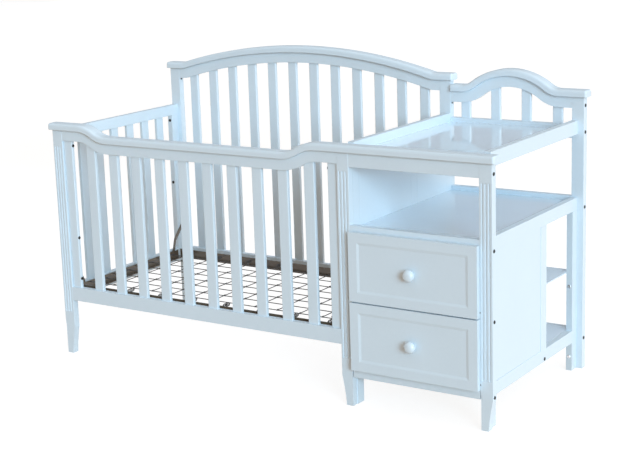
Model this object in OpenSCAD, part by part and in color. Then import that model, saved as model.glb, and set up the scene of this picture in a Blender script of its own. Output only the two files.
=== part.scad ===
// Crib with an attached changer: slatted crib on the left, changing top,
// open shelf, two drawers and side cubbies on the right.
// Millimetres. X runs left to right, Y front to back, Z up from the floor.
// Origin: middle of the footprint, on the floor.

/* [Overall size] */
// Width over the outer faces of the left and right posts
total_w = 1612; // [1520:1:1760]
// Width of the crib, from the left post to the far edge of the shared post
crib_w = 1152; // [1060:1:1200]
// Depth from the face of the front posts to the back of the back posts
depth = 664; // [600:1:740]

/* [Posts] */
// Width of a post
post_w = 40; // [36:0.5:46]
// Thickness of a post, front to back
post_t = 24; // [23:0.5:30]
// Height of the front posts
front_h = 772.5; // [740:0.5:820]
// How far the post behind the changer stands above the front posts
changer_back_rise = 98; // [80:0.5:120]
// How far the posts behind the crib stand above the one behind the changer
crib_back_rise = 34.5; // [20:0.5:60]
// Radius of the round flutes in the front posts
flute_r = 3; // [2:0.1:4]
// Distance between the flutes
flute_pitch = 11; // [9:0.1:12]
// Height at which the flutes start
flute_low = 150; // [140:1:200]
// Plain length of post above the flutes
flute_top = 58; // [30:1:100]
// Height of the tapered foot of a post
foot_h = 95; // [60:1:110]
// How much the foot narrows on its curved side
foot_taper = 14; // [6:0.5:16]
// How much the foot steps in on its other side
foot_step = 3; // [1:0.5:5]
// Height of the slanted facet over that step
foot_facet = 32; // [15:1:40]

/* [Caps] */
// Thickness of the moulded caps
cap_t = 22.5; // [18:0.5:28]
// How far a cap stands out in front of and behind the posts
cap_over = 11; // [7:0.5:16]
// How far a cap stands out past the end posts
cap_end = 10; // [7:0.5:16]
// Upper edge radius of a cap
cap_top_r = 8; // [5:0.5:9]
// Lower edge radius of a cap
cap_low_r = 3; // [2:0.5:6]
// Distance from the left post's edge to the start of the front dip
dip_x = 110; // [90:1:150]
// Length of each S-shaped slope of the front dip
dip_run = 125; // [100:1:160]
// Depth of the front dip
dip_drop = 34; // [20:0.5:50]
// Distance from the post's edge to the start of the crib's back arch
arch_x = 65; // [50:1:120]
// Rise of the crib's back arch
arch_rise = 72.5; // [40:0.5:110]
// Distance from the post's inner edge to the start of the changer's back bell
bell_x = 41; // [25:1:60]
// Gap between the crib's back post and the cap over the changer's back
short_cap_gap = 5; // [1:0.5:8]
// Rise of the changer's back bell
bell_rise = 56.5; // [30:0.5:80]
// Radius of the hollow arcs at the foot of the bell
bell_r = 81; // [50:1:120]

/* [Rails and slats] */
// Thickness of the rails
rail_t = 20; // [17:0.5:22]
// How far the rails stand behind the faces of the posts
rail_set = 0.5; // [0:0.5:4]
// Height of the curved rails under the caps
top_rail_h = 35; // [28:0.5:45]
// Height of the crib's lower rails
crib_rail_h = 46.5; // [35:0.5:60]
// Height of the underside of the crib's lower rails
crib_rail_z = 189; // [150:1:205]
// Height of the plain rails of the changer
rail_h = 39.5; // [30:0.5:46]
// Radius of the eased edges of rails and legs
edge_r = 1; // [1:0.25:2.5]
// Thickness of the slats
slat_t = 12.5; // [10:0.5:14]
// How far the slats stand behind the face of their rail
slat_set = 6.5; // [3:0.25:6.5]
// Eased edge radius of the slats
slat_r = 2.5; // [1:0.25:4]
// Width of the front slats
front_slat_w = 36.5; // [28:0.5:42]
// Number of front slats
front_slats = 10; // [8:1:10]
// Clear gap between the left stile and the first front slat
first_gap = 62; // [40:0.5:66]
// Clear gap between the last front slat and the right stile
last_gap = 47.5; // [36:0.5:62]
// Width of the stiles beside the posts
stile_w = 36; // [28:0.5:40]
// Width of the back slats of the crib
back_slat_w = 33.5; // [26:0.5:40]
// Clear gap between a back post and the nearest back slat
back_gap = 43.5; // [30:0.5:55]
// Number of back slats of the crib
back_slats = 12; // [9:1:12]
// Width of the four slats behind the changer
short_slat_w = 32; // [24:0.5:38]
// Clear gap between a post and the nearest slat behind the changer
short_gap = 35; // [25:0.5:50]
// Width of the slats in the left end
end_slat_w = 35; // [28:0.5:40]
// Number of slats in the left end
end_slats = 6; // [4:1:6]

/* [End frames] */
// Thickness of the end frames
end_t = 20; // [16:0.5:24]
// Depth of the legs of the end frames
leg_d = 35; // [28:0.5:42]
// How far the left end frame stands in from the edge of its posts
left_in = 4; // [0:0.5:8]
// Height of the top rail of the left end
left_top_h = 37; // [30:0.5:48]
// Height of the underside of the lowest rails of the changer
low_rail_z = 91.5; // [70:0.5:110]
// Clear space between a drawer box and the divider behind it
box_behind = 20; // [10:1:40]
// Width of the stiles beside the divider
end_stile_w = 39; // [30:0.5:50]
// Thickness of the panels let into the end frames
panel_t = 8; // [5:0.5:12]

/* [Changer] */
// How far the changing surface lies below the tops of the front posts
tray_down = 1.5; // [1:0.25:6]
// Thickness of the changing board
tray_t = 12; // [10:0.5:15]
// Thickness of the tongue of that board under the front cap
tongue_t = 6; // [4:0.5:8]
// Height of the changer's front top rail
front_rail_h = 42.5; // [32:0.5:50]
// Height of the surface of the open shelf
shelf_z = 545; // [530:0.5:560]
// Thickness of the shelves
shelf_t = 15; // [12:0.5:18]
// How far the lip rails stand above the open shelf
lip = 11.5; // [6:0.5:20]
// Thickness of the divider behind the drawers
divider_t = 9; // [6:0.5:12]
// Height of the surface of the middle cubby shelf
cubby_z = 322; // [300:1:345]
// Thickness of the middle cubby shelf
cubby_t = 4; // [3:0.5:8]
// How far the rail across the changer's back stands above the changing surface
back_up = 10.5; // [6:0.5:16]
// How far the right end panel stands behind the outer face of its frame
panel_in = 2; // [1:0.5:8]

/* [Drawers] */
// Height of a drawer front
drawer_h = 208.5; // [190:0.5:209]
// Height of the lower edge of the lower drawer front
drawer_z = 120; // [110:0.5:122]
// Gap between the two drawer fronts
drawer_gap = 4; // [2:0.5:8]
// Gap at the left of a drawer front
left_gap = 3.5; // [0.5:0.5:4]
// Gap at the right of a drawer front, below 0 where it laps over the post
right_gap = -1; // [-2:0.5:4]
// Thickness of a drawer front
drawer_t = 17; // [14:0.5:22]
// Gap between a shut drawer front and the posts
rest = 1; // [0.8:0.1:2]
// Diameter of the pads that a drawer front closes against
pad_d = 6; // [4:0.5:8]
// Width of the raised border of a drawer front
border_w = 28; // [22:0.5:42]
// Depth of the sunk field of a drawer front
field_d = 2; // [1:0.5:6]
// Width of the bevel between border and field
bevel_w = 8; // [2:0.5:9]
// Diameter of a knob
knob_d = 36; // [24:0.5:40]
// How far a knob stands out
knob_out = 27; // [20:0.5:34]
// Diameter of the neck of a knob
knob_neck = 17; // [12:0.5:20]
// Height of the sides of a drawer box
box_h = 150; // [110:1:158]
// Length of a drawer box behind its front
box_l = 380; // [300:1:385]
// Thickness of the sides and back of a drawer box
box_t = 12; // [9:0.5:15]
// Thickness of a drawer bottom
bottom_t = 5; // [3:0.5:6]
// Height of the drawer bottom above the edge of the sides
bottom_up = 9; // [6:0.5:14]
// Clear space for the runners at each side of a drawer box
runner_gap = 12.5; // [12:0.25:15]
// Sheet thickness of the runners
runner_t = 1.2; // [1:0.1:1.5]
// Diameter of the rollers of the runners
roller_d = 10; // [9:0.5:12]
// Height of the cross rail behind the two drawer fronts
cross_h = 24; // [16:0.5:26]

/* [Mattress support] */
// Height of the wire net above the floor
net_z = 235; // [228:0.5:236]
// Height of the angle irons round the net
iron_h = 29; // [22:0.5:34]
// Sheet thickness of the angle irons
iron_t = 3; // [2:0.25:4]
// Inward flange of the angle irons
iron_flange = 18; // [12:0.5:26]
// Space between the irons and the end frames
iron_end = 18; // [12:0.5:26]
// Distance from the front posts' faces to the front iron
iron_front = 34; // [30:0.5:40]
// Distance from the back posts to the back iron
iron_back = 47; // [30:0.5:60]
// Diameter of the wires of the net
wire_d = 3; // [2:0.25:4]
// Distance between the long wires of the net
row_pitch = 61; // [52:0.5:64]
// Number of long wires of the net
rows = 8; // [5:1:8]
// Distance from the left end iron to the first short wire
first_col = 28; // [20:0.5:40]
// Distance from the last short wire to the right end iron
last_col = 36; // [20:0.5:44]
// Number of short wires of the net
cols = 13; // [8:1:13]
// Length of the front springs from the iron to the first long wire
spring_l = 48; // [40:0.5:56]
// Number of springs along each side
springs = 8; // [4:1:8]
// Distance from one spring to the next
spring_pitch = 132; // [110:0.5:140]
// Outer diameter of the springs
spring_d = 13; // [8:0.5:15]
// Diameter of the spring wire
spring_wire = 1.8; // [1.2:0.1:2.2]
// Number of full curls in a spring
curls = 5; // [4:1:6]
// Width of the straps that carry the support
strap_w = 20; // [14:0.5:26]
// Thickness of the straps
strap_t = 3; // [2:0.25:4]
// Height that a strap climbs from the irons to its bolt
strap_rise = 90; // [70:1:110]
// Straight foot of a strap on its end iron
strap_foot = 32; // [24:0.5:40]
// Height at which a strap reaches the leg
strap_knee = 74; // [60:0.5:84]
// How far a strap runs on past its bolts
strap_end = 8; // [6:0.5:12]
// How far a back strap leans back on its way up
back_lean = 85; // [60:1:100]
// How far a front strap leans forward on its way up
front_lean = 22; // [10:1:40]

/* [Bolts] */
// Diameter of the bolt heads
head_d = 10; // [8:0.5:12]
// Height of the bolt heads
head_h = 2; // [1.5:0.25:3]
// Height of the end frames' lower bolts above the crib's bottom rails
end_bolt_up = 250; // [200:1:300]
// Diameter of the small screw heads under the curved rails
screw_d = 5; // [4:0.5:7]

/* [Hidden] */
$fn = 48;
paint = [0.90, 0.94, 0.96];
board = [0.84, 0.88, 0.92];
steel = [0.72, 0.74, 0.76];
iron = [0.16, 0.14, 0.13];

// Left edges of the shared and right posts, front face of the back posts
x_mid = crib_w - post_w;
x_right = total_w - post_w;
y_back = depth - post_t;
bay_w = x_right - crib_w;
// Heights that follow the front posts
changer_back_h = front_h + changer_back_rise;
crib_back_h = changer_back_h + crib_back_rise;
tray_z = front_h - tray_down;
back_low_z = tray_z + back_up - rail_h;
// Front faces of the front and back rails
y_rail = rail_set;
y_rail_back = y_back + rail_set;
// Inner faces of the crib's two ends
x_in = left_in + end_t;
x_in2 = crib_w - end_t;
// Height of the tops of the rim rails, level with the cap
rim_z = front_h + cap_t;
crib_rail_top = crib_rail_z + crib_rail_h;
low_rail_top = low_rail_z + rail_h;
lip_z = shelf_z + lip;
// Lower edges of the drawer fronts and of their boxes
z_upper = drawer_z + drawer_h + drawer_gap;
box_up = 15;
front_w = bay_w - left_gap - right_gap;
box_w = bay_w - 2 * runner_gap;
x_box = crib_w + runner_gap;
cross_z = z_upper - drawer_gap / 2 - cross_h + 4;
// Distance from the front posts' faces to the back of the divider
divider_y = box_l + box_behind + divider_t;
// Faces of the angle irons
iron_x = x_in + iron_end;
iron_x2 = x_in2 - iron_end;
iron_y = iron_front;
iron_y2 = y_back - iron_back;
iron_top = net_z + wire_d / 2 + 2;
row_y = iron_y + iron_t + spring_l;
col_x = iron_x + first_col;
col_pitch = (iron_x2 - last_col - col_x) / (cols - 1);
// The whole stands round the middle of its footprint
mid = [total_w / 2, (depth + cap_over - rest - drawer_t - knob_out) / 2, 0];

// ---- helpers ----
function unit(v) = v / norm(v);
function left_of(v) = [-v.y, v.x];
// Direction across a path at point i, long enough to keep its parallel at one distance
function across(p, i) = let(
    a = max(i, 1),
    b = min(i, len(p) - 2),
    u = left_of(unit(p[a] - p[a - 1])),
    v = left_of(unit(p[b + 1] - p[b])),
    n = unit(u + v)
  ) n / (n * u);
function beside(p, d) = [for (i = [0:len(p) - 1]) p[i] + d * across(p, i)];
function back_to_front(p) = [for (i = [len(p) - 1:-1:0]) p[i]];

// Two tangent arcs, level at both ends, that climb h over the run w
function slope(w, h, first_r, n) = let(
    t = 2 * atan(h / w),
    both = w / sin(t),
    r = min(first_r, both * 0.8),
    q = both - r
  ) [
    for (i = [0:n]) [r * sin(t * i / n), r * (1 - cos(t * i / n))],
    for (i = [n - 1:-1:0]) [w - q * sin(t * i / n), h - q * (1 - cos(t * i / n))]
  ];
function even_r(w, h) = w / sin(2 * atan(h / w)) / 2;

// One flat arc from x0 to x1 that rises by h in its middle
function arch(x0, x1, z, h, n) = let(
    s = (x1 - x0) / 2,
    r = (s * s + h * h) / (2 * h),
    a = asin(s / r)
  ) [for (i = [0:n]) let(t = -a + 2 * a * i / n) [(x0 + x1) / 2 + r * sin(t), z + h - r + r * cos(t)]];

// Underside lines of the three caps between their posts
dip_line = concat(
  [for (q = slope(dip_run, dip_drop, even_r(dip_run, dip_drop), 8)) [dip_x + q.x, front_h - q.y]],
  [for (q = slope(dip_run, dip_drop, even_r(dip_run, dip_drop), 8))
    [crib_w - dip_x - dip_run + q.x, front_h - dip_drop + q.y]]);
arch_line = arch(arch_x, crib_w - arch_x, crib_back_h, arch_rise, 28);
bell_half = bay_w / 2 - bell_x;
bell_up = [for (q = slope(bell_half, bell_rise, bell_r, 8)) [crib_w + bell_x + q.x, changer_back_h + q.y]];
bell_line = concat(bell_up,
  [for (i = [len(bell_up) - 2:-1:0]) [crib_w + x_right - bell_up[i].x, bell_up[i].y]]);

// Outline of a bar a by b with eased corners
function eased(a, b, r) = [for (c = [0:3]) for (i = [0:3]) let(
    t = 90 * (c + i / 3),
    cx = c == 0 || c == 3 ? a - r : r,
    cy = c < 2 ? b - r : r
  ) [cx + r * cos(t), cy + r * sin(t)]];
module bar_z(p, s, r = edge_r) {
  translate(p) linear_extrude(s.z) polygon(eased(s.x, s.y, r));
}
module bar_x(p, s, r = edge_r) {
  translate(p) rotate([90, 0, 90]) linear_extrude(s.x) polygon(eased(s.y, s.z, r));
}
module bar_y(p, s, r = edge_r) {
  translate(p + [0, s.y, 0]) rotate([90, 0, 0]) linear_extrude(s.y) polygon(eased(s.x, s.z, r));
}
module box(p, s) {
  translate(p) cube(s);
}
// An outline seen from the front, t thick from y back
module sheet_y(y, t, points) {
  translate([0, y + t, 0]) rotate([90, 0, 0]) linear_extrude(t) polygon(points);
}
module place() {
  translate(-mid) children();
}

// Closed skin over a row of rings
function joined(l) = [for (a = l) for (b = a) b];
module skin(rings) {
  m = len(rings[0]);
  n = len(rings);
  sides = [for (i = [0:n - 2]) for (j = [0:m - 1]) let(
      a = i * m + j,
      b = i * m + (j + 1) % m
    ) each [[a, a + m, b + m], [a, b + m, b]]];
  first = [[for (j = [0:m - 1]) j]];
  last = [[for (j = [m - 1:-1:0]) (n - 1) * m + j]];
  polyhedron(points = joined(rings), faces = concat(first, sides, last), convexity = 8);
}

// ---- caps ----
// Section of a cap, drawn in by d all round but on its underside
cap_w = post_t + 2 * cap_over;
function cap_ring(d) = [
  for (c = [0:3]) for (i = [0:3]) let(
    t = 90 * (c - 1 + i / 3),
    r = c == 0 || c == 3 ? cap_low_r : cap_top_r,
    cy = c < 2 ? cap_w - d - r : d + r,
    cs = c == 0 || c == 3 ? r : cap_t - d - r
  ) [cy + r * cos(t), cs + r * sin(t)]];
function cap_station(p, n, y, d) = [for (q = cap_ring(d)) [p.x + n.x * q.y, y + q.x, p.y + n.y * q.y]];
// A moulding that follows a line, with both ends rounded over or square
module cap(line, y, round_first = true, round_last = true) {
  e = cap_top_r * 0.7;
  k = len(line) - 1;
  starts = round_first ? [for (i = [0:3]) cap_station(
      line[0] + [e * (1 - cos(30 * i)), 0], [0, 1], y, e * (1 - sin(30 * i)))]
    : [cap_station(line[0], [0, 1], y, 0)];
  ends = round_last ? [for (i = [3:-1:0]) cap_station(
      line[k] - [e * (1 - cos(30 * i)), 0], [0, 1], y, e * (1 - sin(30 * i)))]
    : [cap_station(line[k], [0, 1], y, 0)];
  middle = [for (i = [1:k - 1]) cap_station(line[i], across(line, i), y, 0)];
  skin(concat(starts, middle, ends));
}
module front_cap() {
  color(paint) place()
    cap(concat([[-cap_end, front_h]], dip_line, [[total_w + cap_end, front_h]]), -cap_over);
}
module crib_back_cap() {
  color(paint) place()
    cap(concat([[-cap_end, crib_back_h]], arch_line, [[crib_w + cap_end, crib_back_h]]),
      y_back - cap_over);
}
module changer_back_cap() {
  color(paint) place()
    cap(concat([[crib_w + short_cap_gap, changer_back_h]], bell_line, [[total_w + cap_end, changer_back_h]]),
      y_back - cap_over, false, true);
}

// ---- posts ----
// Outline of a post from the front: curved taper on its right, small step on its left
function post_outline(h) = concat(
  [[foot_step, 0], [foot_step, foot_h], [0, foot_h + foot_facet], [0, h], [post_w, h]],
  [for (i = [0:7]) let(u = 1 - i / 7) [post_w - foot_taper * (1 - pow(u, 1.5)), foot_h * u]]);
module post(x, h, taper) {
  outline = [for (q = post_outline(h)) [taper > 0 ? x + q.x : x + post_w - q.x, q.y]];
  intersection() {
    bar_z([x, 0, 0], [post_w, post_t, h]);
    sheet_y(-1, post_t + 2, taper > 0 ? outline : back_to_front(outline));
  }
}
module flutes(x, h) {
  for (i = [-1:1]) translate([x + post_w / 2 + i * flute_pitch, 0, 0]) {
    translate([0, 0, flute_low]) cylinder(h = h - flute_top - flute_low, r = flute_r);
    translate([0, 0, flute_low]) sphere(r = flute_r);
    translate([0, 0, h - flute_top]) sphere(r = flute_r);
  }
}
module fluted_post(x, taper) {
  difference() {
    post(x, front_h, taper);
    flutes(x, front_h);
  }
}
module left_front_post() {
  color(paint) place() fluted_post(0, 1);
}
module middle_front_post() {
  color(paint) place() fluted_post(x_mid, -1);
}
module right_front_post() {
  color(paint) place() fluted_post(x_right, 1);
}
module crib_back_posts() {
  color(paint) place() for (x = [0, x_mid]) bar_z([x, y_back, 0], [post_w, post_t, crib_back_h]);
}
module changer_back_post() {
  color(paint) place() bar_z([x_right, y_back, 0], [post_w, post_t, changer_back_h]);
}

// ---- crib front and back ----
front_top_line = concat([[post_w, front_h]], dip_line, [[x_mid, front_h]]);
back_top_line = concat([[post_w, crib_back_h]], arch_line, [[x_mid, crib_back_h]]);
short_top_line = concat([[crib_w, changer_back_h]], bell_line, [[x_right, changer_back_h]]);
module curved_rail(line, y) {
  sheet_y(y, rail_t, concat(beside(line, -top_rail_h), back_to_front(line)));
}
// Slats of width w that stand on z and end at the underside of a curved rail
module slats_to(line, starts, w, y, z) {
  low = beside(line, -top_rail_h);
  k = len(low) - 1;
  intersection() {
    union() {
      for (x = starts) bar_z([x, y, z], [w, slat_t, crib_back_h + arch_rise - z], slat_r);
    }
    sheet_y(y - 1, slat_t + 2, concat([[low[0].x, z - 1], [low[k].x, z - 1]], back_to_front(low)));
  }
}
module crib_front_top_rail() {
  color(paint) place() curved_rail(front_top_line, y_rail);
}
module crib_front_bottom_rail() {
  color(paint) place() bar_x([post_w, y_rail, crib_rail_z], [x_mid - post_w, rail_t, crib_rail_h]);
}
front_first = post_w + stile_w + first_gap;
front_pitch = (x_mid - stile_w - last_gap - front_slat_w - front_first) / (front_slats - 1);
module crib_front_stiles() {
  color(paint) place()
    slats_to(front_top_line, [post_w, x_mid - stile_w], stile_w, y_rail + slat_set, crib_rail_top);
}
module crib_front_slats() {
  color(paint) place()
    slats_to(front_top_line,
      [for (i = [0:front_slats - 1]) front_first + i * front_pitch],
      front_slat_w, y_rail + slat_set, crib_rail_top);
}
module crib_back_top_rail() {
  color(paint) place() curved_rail(back_top_line, y_rail_back);
}
module crib_back_bottom_rail() {
  color(paint) place()
    bar_x([post_w, y_rail_back, crib_rail_z], [x_mid - post_w, rail_t, crib_rail_h]);
}
module crib_back_slats() {
  first = post_w + back_gap;
  back_pitch = (x_mid - back_gap - back_slat_w - first) / (back_slats - 1);
  color(board) place()
    slats_to(back_top_line, [for (i = [0:back_slats - 1]) first + i * back_pitch],
      back_slat_w, y_rail_back + slat_set, crib_rail_top);
}

// ---- left end of the crib ----
// Its stiles end at the lower rail and leave the posts to stand on the floor
module left_end_stiles() {
  color(paint) place() for (y = [post_t, y_back - leg_d])
    bar_z([left_in, y, crib_rail_z], [end_t, leg_d, front_h - left_top_h - crib_rail_z]);
}
module left_end_top_rail() {
  color(paint) place()
    bar_y([left_in, post_t, front_h - left_top_h], [end_t, y_back - post_t, left_top_h]);
}
module left_end_bottom_rail() {
  color(paint) place()
    bar_y([left_in, post_t + leg_d, crib_rail_z], [end_t, y_back - post_t - 2 * leg_d, crib_rail_h]);
}
module left_end_slats() {
  room = y_back - post_t - 2 * leg_d;
  gap = (room - end_slats * end_slat_w) / (end_slats + 1);
  first = post_t + leg_d + gap;
  color(paint) place() for (i = [0:end_slats - 1])
    bar_z([left_in + (end_t - slat_t) / 2, first + i * (end_slat_w + gap), crib_rail_top],
      [slat_t, end_slat_w, front_h - left_top_h - crib_rail_top], slat_r);
}

// ---- end frames of the changer ----
module both_ends() {
  translate([x_in2, 0, 0]) children();
  translate([x_right, 0, 0]) children();
}
module changer_end_legs() {
  color(paint) place() both_ends() {
    bar_z([0, post_t, 0], [end_t, leg_d, rim_z - rail_h]);
    bar_z([0, y_back - leg_d, 0], [end_t, leg_d, rim_z - rail_h]);
  }
}
// The rim rails are let in under the back edge of the front cap
module changer_rim_rails() {
  color(paint) place() both_ends() difference() {
    bar_y([0, post_t, rim_z - rail_h], [end_t, y_back - post_t, rail_h]);
    box([-1, post_t - 1, front_h], [end_t + 2, cap_over + 1, cap_t + 1]);
  }
}
module changer_end_bottom_rails() {
  color(paint) place() both_ends()
    bar_y([0, post_t + leg_d, low_rail_z], [end_t, y_back - post_t - 2 * leg_d, rail_h]);
}
// The right stile ends under the shelf rail, the middle one under the rim
module changer_end_stiles() {
  color(paint) place() {
    bar_z([x_in2, divider_y - end_stile_w, low_rail_top],
      [end_t, end_stile_w, rim_z - rail_h - low_rail_top]);
    bar_z([x_right, divider_y - end_stile_w, low_rail_top],
      [end_t, end_stile_w, lip_z - rail_h - low_rail_top]);
  }
}
module middle_end_panels() {
  y0 = post_t + leg_d;
  y1 = divider_y - end_stile_w;
  color(paint) place() {
    box([crib_w - panel_t, y0, low_rail_top], [panel_t, y1 - y0, rim_z - rail_h - low_rail_top]);
    box([crib_w - panel_t, divider_y, low_rail_top],
      [panel_t, y_back - leg_d - divider_y, rim_z - rail_h - low_rail_top]);
  }
}
module right_end_panel() {
  y0 = post_t + leg_d;
  color(paint) place()
    box([x_right + end_t - panel_in - panel_t, y0, low_rail_top],
      [panel_t, divider_y - end_stile_w - y0, lip_z - rail_h - low_rail_top]);
}
module right_end_shelf_rail() {
  color(paint) place()
    bar_y([x_right, post_t + leg_d, lip_z - rail_h], [end_t, y_back - post_t - 2 * leg_d, rail_h]);
}

// ---- changer rails ----
module changer_front_top_rail() {
  color(paint) place()
    bar_x([crib_w, y_rail, front_h - front_rail_h], [bay_w, rail_t, front_rail_h]);
}
module shelf_front_rail() {
  color(paint) place() bar_x([crib_w, y_rail, lip_z - rail_h], [bay_w, rail_t, rail_h]);
}
module drawer_cross_rail() {
  color(paint) place() bar_x([crib_w, y_rail, cross_z], [bay_w, rail_t, cross_h]);
}
module front_bottom_rail() {
  color(paint) place() bar_x([crib_w, y_rail, low_rail_z], [bay_w, rail_t, rail_h]);
}
module changer_back_top_rail() {
  color(paint) place() curved_rail(short_top_line, y_rail_back);
}
module changer_back_lower_rail() {
  color(paint) place() bar_x([crib_w, y_rail_back, back_low_z], [bay_w, rail_t, rail_h]);
}
module shelf_back_rail() {
  color(paint) place() bar_x([crib_w, y_rail_back, lip_z - rail_h], [bay_w, rail_t, rail_h]);
}
module changer_back_bottom_rail() {
  color(paint) place() bar_x([crib_w, y_rail_back, low_rail_z], [bay_w, rail_t, rail_h]);
}
module changer_back_slats() {
  first = crib_w + short_gap;
  pitch = (bay_w - 2 * short_gap - short_slat_w) / 3;
  color(board) place()
    slats_to(short_top_line, [for (i = [0:3]) first + i * pitch], short_slat_w,
      y_rail_back + slat_set, back_low_z + rail_h);
}

// ---- boards of the changer ----
board_y = y_rail + rail_t;
// The changing board has a tongue along its front that lies under the cap
module changing_tray() {
  color(board) place() difference() {
    box([crib_w, board_y, tray_z - tray_t], [bay_w, y_rail_back - board_y, tray_t]);
    box([crib_w - 1, board_y - 1, tray_z - tray_t + tongue_t],
      [bay_w + 2, post_t + cap_over + 2 - board_y, tray_t]);
  }
}
module open_shelf() {
  color(board) place()
    box([crib_w, board_y, shelf_z - shelf_t], [bay_w, y_rail_back - board_y, shelf_t]);
}
module divider_panel() {
  color(paint) place()
    box([crib_w, divider_y - divider_t, low_rail_z + 4],
      [bay_w, divider_t, shelf_z - shelf_t - low_rail_z - 4]);
}
module cubby_middle_shelf() {
  color(board) place()
    box([crib_w, divider_y, cubby_z - cubby_t], [bay_w, y_rail_back - divider_y, cubby_t]);
}
module cubby_bottom_shelf() {
  color(board) place()
    box([crib_w, divider_y, low_rail_top - shelf_t], [bay_w, y_rail_back - divider_y, shelf_t]);
}

// ---- drawers ----
module shut() {
  translate([0, -rest, 0]) children();
}
// Pads on the posts, behind the edges of the fronts
module drawer_pads() {
  color(iron) place() both_sides() for (z = [drawer_z, z_upper])
    translate([0, 0, z + box_up]) rotate([90, 0, 0]) cylinder(h = rest - 0.3, d = pad_d);
}
// Front with a sunk, bevelled field
module drawer_front(z) {
  x0 = crib_w + left_gap;
  u = border_w;
  v = border_w + bevel_w;
  difference() {
    bar_y([x0, -drawer_t, z], [front_w, drawer_t, drawer_h], edge_r);
    skin([
      [[x0 + v, field_d, z + v], [x0 + front_w - v, field_d, z + v],
        [x0 + front_w - v, field_d, z + drawer_h - v], [x0 + v, field_d, z + drawer_h - v]] +
        [for (i = [0:3]) [0, -drawer_t, 0]],
      [[x0 + u, -drawer_t, z + u], [x0 + front_w - u, -drawer_t, z + u],
        [x0 + front_w - u, -drawer_t, z + drawer_h - u], [x0 + u, -drawer_t, z + drawer_h - u]],
      [[x0 + u, -drawer_t - 1, z + u], [x0 + front_w - u, -drawer_t - 1, z + u],
        [x0 + front_w - u, -drawer_t - 1, z + drawer_h - u],
        [x0 + u, -drawer_t - 1, z + drawer_h - u]]
    ]);
  }
}
module drawer_sides(z) {
  b = z + box_up;
  for (x = [x_box, x_box + box_w - box_t]) difference() {
    box([x, 0, b], [box_t, box_l, box_h]);
    box([x_box + box_t / 2, -1, b + bottom_up], [box_w - box_t, box_l + 2, bottom_t]);
  }
}
module drawer_back(z) {
  b = z + box_up + bottom_up + bottom_t;
  box([x_box + box_t, box_l - box_t, b], [box_w - 2 * box_t, box_t, z + box_up + box_h - b]);
}
module drawer_bottom(z) {
  box([x_box + box_t / 2, 0, z + box_up + bottom_up], [box_w - box_t, box_l, bottom_t]);
}
// A flattened ball on a short neck
knob_seat = drawer_t - field_d;
module knob(z) {
  out = knob_out + field_d;
  bulb = knob_out * 0.39;
  profile = concat([[0, 0], [knob_neck / 2, 0]],
    [for (i = [0:12]) let(t = -62 + 152 * i / 12)
      [i == 12 ? 0 : knob_d / 2 * cos(t), out - bulb + bulb * sin(t)]]);
  translate([crib_w + left_gap + front_w / 2, -knob_seat, z + drawer_h / 2])
    rotate([90, 0, 0]) rotate_extrude() polygon(profile);
}
// Sheet runner under a drawer side, with a lip that rides on the fixed roller
play = 0.3;
chan_h = roller_d + 2 * play + 2 * runner_t;
lip_in = 3.8;
// Underside of the lip, for a box whose sides stand on b
function lip_of(b) = b + roller_d + 1.6;
module drawer_runner(b) {
  l = box_l - 2 * runner_t;
  x = runner_gap - runner_t;
  box([x, runner_t, b - runner_t], [runner_t, l, lip_of(b) - b + 2 * runner_t]);
  box([x, runner_t, b - runner_t], [box_t + runner_t, l, runner_t]);
  box([lip_in, runner_t, lip_of(b)], [runner_gap - lip_in, l, runner_t]);
}
module roller(y, z, x0, x1) {
  translate([x0, y, z]) rotate([0, 90, 0]) cylinder(h = x1 - x0, d = roller_d);
}
module both_sides() {
  translate([crib_w, 0, 0]) children();
  translate([x_right, 0, 0]) mirror([1, 0, 0]) children();
}
function chan_z(b) = lip_of(b) - play - chan_h;
module drawer_runners(z) {
  b = z + box_up;
  both_sides() {
    drawer_runner(b);
    roller(box_l - roller_d, chan_z(b) + chan_h / 2, lip_in, runner_gap - runner_t);
  }
}
// Fixed channel on the end frame, with its own roller at the mouth
module fixed_runner(b) {
  y0 = board_y + 2;
  l = divider_y - divider_t - y0 - 2;
  c = chan_z(b);
  box([0, y0, c], [runner_t, l, chan_h]);
  box([0, y0, c], [runner_gap - 3, l, runner_t]);
  box([0, y0 + 2 * roller_d, c + chan_h - runner_t], [runner_gap - 3, l - 2 * roller_d, runner_t]);
  roller(y0 + roller_d / 2 + 3, lip_of(b) - play - roller_d / 2, 0, runner_gap - 3);
}
module fixed_runners() {
  color(steel) place() both_sides() for (z = [drawer_z, z_upper]) fixed_runner(z + box_up);
}
module upper_drawer_front() {
  color(paint) place() shut() drawer_front(z_upper);
}
module upper_drawer_sides() {
  color(board) place() shut() drawer_sides(z_upper);
}
module upper_drawer_back() {
  color(board) place() shut() drawer_back(z_upper);
}
module upper_drawer_bottom() {
  color(board) place() shut() drawer_bottom(z_upper);
}
module upper_drawer_knob() {
  color(paint) place() shut() knob(z_upper);
}
module upper_drawer_runners() {
  color(steel) place() shut() drawer_runners(z_upper);
}
module lower_drawer_front() {
  color(paint) place() shut() drawer_front(drawer_z);
}
module lower_drawer_sides() {
  color(board) place() shut() drawer_sides(drawer_z);
}
module lower_drawer_back() {
  color(board) place() shut() drawer_back(drawer_z);
}
module lower_drawer_bottom() {
  color(board) place() shut() drawer_bottom(drawer_z);
}
module lower_drawer_knob() {
  color(paint) place() shut() knob(drawer_z);
}
module lower_drawer_runners() {
  color(steel) place() shut() drawer_runners(drawer_z);
}

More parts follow.
